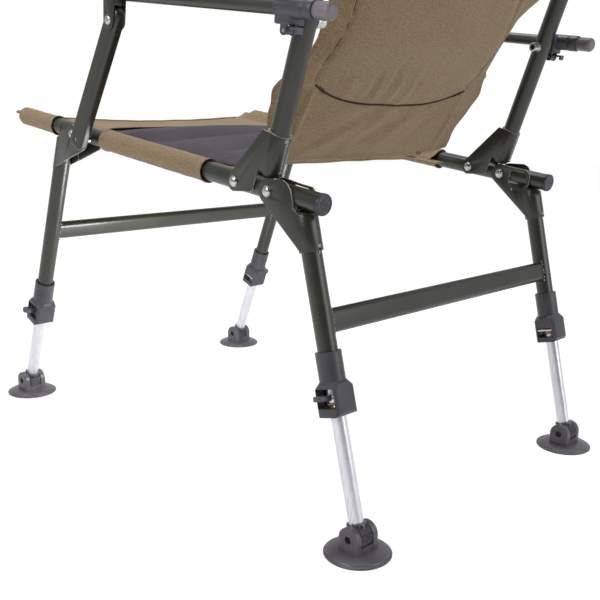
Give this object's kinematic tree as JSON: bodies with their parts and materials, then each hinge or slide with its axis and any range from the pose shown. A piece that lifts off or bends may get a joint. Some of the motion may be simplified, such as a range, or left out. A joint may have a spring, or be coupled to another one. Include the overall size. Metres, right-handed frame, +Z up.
{
  "type": "folding fishing chair",
  "caption": "Low folding fishing chair with a padded cloth seat and reclining back, sliding armrests and telescopic legs that end in tilting disc feet.",
  "frame": {"origin": "on the floor, under the centre of the chair's bounding box", "axes": "+X to the sitter's left, -Y the way the sitter faces, +Z up"},
  "size_m": [0.624, 0.8938, 1.0349],
  "materials": {
    "frame_paint": "dark olive-grey fine-texture powder coat",
    "khaki_cloth": "coarse plain-weave polyester cloth",
    "charcoal_pad": "soft dark padded cloth with sewn channels",
    "dark_plastic": "matt moulded plastic",
    "grey_plastic": "satin moulded plastic",
    "satin_aluminium": "satin tube with a fine lengthwise grain",
    "zinc": "bright plated steel"
  },
  "bodies": {
    "seat": {"seat_rail_left": "frame_paint", "seat_rail_right": "frame_paint", "rail_rear_cap_left": "dark_plastic", "rail_rear_cap_right": "dark_plastic", "back_pivot_rivet_left": "zinc", "back_pivot_rivet_right": "zinc", "rear_leg_rivet_left": "zinc", "rear_leg_rivet_right": "zinc", "front_leg_rivet_left": "zinc", "front_leg_rivet_right": "zinc", "post_pivot_bolt_left": "zinc", "post_pivot_bolt_right": "zinc", "seat_cover": "khaki_cloth", "seat_pad": "charcoal_pad"},
    "front_legs": {"front_leg_left": "frame_paint", "front_leg_right": "frame_paint", "front_lock_housing_left": "dark_plastic", "front_lock_housing_right": "dark_plastic", "front_crossbar": "frame_paint"},
    "rear_legs": {"rear_leg_left": "frame_paint", "rear_leg_right": "frame_paint", "rear_lock_housing_left": "dark_plastic", "rear_lock_housing_right": "dark_plastic", "rear_crossbar": "frame_paint"},
    "backrest": {"back_frame": "frame_paint", "arm_clamp_bolt_left": "zinc", "arm_clamp_bolt_right": "zinc", "back_cover_upper": "khaki_cloth", "back_cover_lower": "khaki_cloth", "back_pad": "charcoal_pad"},
    "front_shin_left": {"front_inner_leg_left": "satin_aluminium", "front_ankle_left": "dark_plastic"},
    "front_shoe_left": {"front_foot_left": "dark_plastic"},
    "front_lock_left": {"front_lock_lever_left": "dark_plastic"},
    "front_shin_right": {"front_inner_leg_right": "satin_aluminium", "front_ankle_right": "dark_plastic"},
    "front_shoe_right": {"front_foot_right": "dark_plastic"},
    "front_lock_right": {"front_lock_lever_right": "dark_plastic"},
    "rear_shin_left": {"rear_inner_leg_left": "satin_aluminium", "rear_ankle_left": "dark_plastic"},
    "rear_shoe_left": {"rear_foot_left": "dark_plastic"},
    "rear_lock_left": {"rear_lock_lever_left": "dark_plastic"},
    "rear_shin_right": {"rear_inner_leg_right": "satin_aluminium", "rear_ankle_right": "dark_plastic"},
    "rear_shoe_right": {"rear_foot_right": "dark_plastic"},
    "rear_lock_right": {"rear_lock_lever_right": "dark_plastic"},
    "post_left": {"arm_post_left": "frame_paint"},
    "arm_left": {"arm_tube_left": "frame_paint", "arm_hinge_bolt_left": "zinc", "arm_end_cap_left": "grey_plastic", "arm_pad_left": "dark_plastic"},
    "clamp_left": {"arm_clamp_block_left": "dark_plastic"},
    "cam_left": {"arm_clamp_lever_left": "dark_plastic"},
    "post_right": {"arm_post_right": "frame_paint"},
    "arm_right": {"arm_tube_right": "frame_paint", "arm_hinge_bolt_right": "zinc", "arm_end_cap_right": "grey_plastic", "arm_pad_right": "dark_plastic"},
    "clamp_right": {"arm_clamp_block_right": "dark_plastic"},
    "cam_right": {"arm_clamp_lever_right": "dark_plastic"}
  },
  "joints": [
    {"name": "front_legs_fold", "type": "hinge", "parent": "seat", "child": "front_legs", "pos_m": [0, -0.1882, 0.47311], "axis": [1, 0, 0], "range_deg": [0, 90]},
    {"name": "rear_legs_fold", "type": "hinge", "parent": "seat", "child": "rear_legs", "pos_m": [0, 0.25122, 0.42529], "axis": [1, 0, 0], "range_deg": [-100, 0]},
    {"name": "back_fold", "type": "hinge", "parent": "seat", "child": "backrest", "pos_m": [0, 0.19062, 0.4323], "axis": [1, 0, 0], "range_deg": [0, 101.5], "deforming": ["back_cover_lower"]},
    {"name": "front_leg_extend_left", "type": "slide", "parent": "front_legs", "child": "front_shin_left", "axis": [0, 0.3616, 0.9323], "range_m": [-0.025, 0.1]},
    {"name": "front_foot_tilt_left", "type": "hinge", "parent": "front_shin_left", "child": "front_shoe_left", "pos_m": [0.252, -0.40444, 0.024], "axis": [1, 0, 0], "range_deg": [-20, 20]},
    {"name": "front_lock_release_left", "type": "hinge", "parent": "front_legs", "child": "front_lock_left", "pos_m": [0.235, -0.35016, 0.16396], "axis": [0, 0.9323, -0.3616], "range_deg": [0, 10], "stiffness_Nm_per_rad": 0.2, "springref_deg": -17.19},
    {"name": "front_leg_extend_right", "type": "slide", "parent": "front_legs", "child": "front_shin_right", "axis": [0, 0.3616, 0.9323], "range_m": [-0.025, 0.1]},
    {"name": "front_foot_tilt_right", "type": "hinge", "parent": "front_shin_right", "child": "front_shoe_right", "pos_m": [-0.252, -0.40444, 0.024], "axis": [1, 0, 0], "range_deg": [-20, 20]},
    {"name": "front_lock_release_right", "type": "hinge", "parent": "front_legs", "child": "front_lock_right", "pos_m": [-0.235, -0.35016, 0.16396], "axis": [0, -0.9323, 0.3616], "range_deg": [0, 10], "stiffness_Nm_per_rad": 0.2, "springref_deg": -17.19},
    {"name": "rear_leg_extend_left", "type": "slide", "parent": "rear_legs", "child": "rear_shin_left", "axis": [0, -0.2605, 0.9655], "range_m": [-0.025, 0.1]},
    {"name": "rear_foot_tilt_left", "type": "hinge", "parent": "rear_shin_left", "child": "rear_shoe_left", "pos_m": [0.252, 0.40444, 0.024], "axis": [1, 0, 0], "range_deg": [-20, 20]},
    {"name": "rear_lock_release_left", "type": "hinge", "parent": "rear_legs", "child": "rear_lock_left", "pos_m": [0.235, 0.36028, 0.1877], "axis": [0, 0.9655, 0.2605], "range_deg": [0, 10], "stiffness_Nm_per_rad": 0.2, "springref_deg": -17.19},
    {"name": "rear_leg_extend_right", "type": "slide", "parent": "rear_legs", "child": "rear_shin_right", "axis": [0, -0.2605, 0.9655], "range_m": [-0.025, 0.1]},
    {"name": "rear_foot_tilt_right", "type": "hinge", "parent": "rear_shin_right", "child": "rear_shoe_right", "pos_m": [-0.252, 0.40444, 0.024], "axis": [1, 0, 0], "range_deg": [-20, 20]},
    {"name": "rear_lock_release_right", "type": "hinge", "parent": "rear_legs", "child": "rear_lock_right", "pos_m": [-0.235, 0.36028, 0.1877], "axis": [0, -0.9655, -0.2605], "range_deg": [0, 10], "stiffness_Nm_per_rad": 0.2, "springref_deg": -17.19},
    {"name": "post_fold_left", "type": "hinge", "parent": "seat", "child": "post_left", "pos_m": [0.281, -0.1435, 0.46794], "axis": [1, 0, 0], "range_deg": [0, 108]},
    {"name": "arm_swing_left", "type": "hinge", "parent": "post_left", "child": "arm_left", "pos_m": [0.281, -0.03836, 0.628], "axis": [1, 0, 0], "range_deg": [-109.5, 0]},
    {"name": "clamp_slide_left", "type": "slide", "parent": "arm_left", "child": "clamp_left", "axis": [0, 0.9945, -0.1045], "range_m": [-0.0185, 0]},
    {"name": "cam_open_left", "type": "hinge", "parent": "clamp_left", "child": "cam_left", "pos_m": [0.281, 0.29888, 0.60275], "axis": [1, 0, 0], "range_deg": [-75, 0]},
    {"name": "post_fold_right", "type": "hinge", "parent": "seat", "child": "post_right", "pos_m": [-0.281, -0.1435, 0.46794], "axis": [1, 0, 0], "range_deg": [0, 108]},
    {"name": "arm_swing_right", "type": "hinge", "parent": "post_right", "child": "arm_right", "pos_m": [-0.281, -0.03836, 0.628], "axis": [1, 0, 0], "range_deg": [-109.5, 0]},
    {"name": "clamp_slide_right", "type": "slide", "parent": "arm_right", "child": "clamp_right", "axis": [0, 0.9945, -0.1045], "range_m": [-0.0185, 0]},
    {"name": "cam_open_right", "type": "hinge", "parent": "clamp_right", "child": "cam_right", "pos_m": [-0.281, 0.29888, 0.60275], "axis": [1, 0, 0], "range_deg": [-75, 0]}
  ],
  "couplings": [
    {"joint": "post_fold_left", "follows": "back_fold", "ratio": 1.0589},
    {"joint": "arm_swing_left", "follows": "back_fold", "ratio": -1.0725},
    {"joint": "clamp_slide_left", "follows": "back_fold", "m_per_rad": -0.010053},
    {"joint": "post_fold_right", "follows": "back_fold", "ratio": 1.0589},
    {"joint": "arm_swing_right", "follows": "back_fold", "ratio": -1.0725},
    {"joint": "clamp_slide_right", "follows": "back_fold", "m_per_rad": -0.010053}
  ]
}
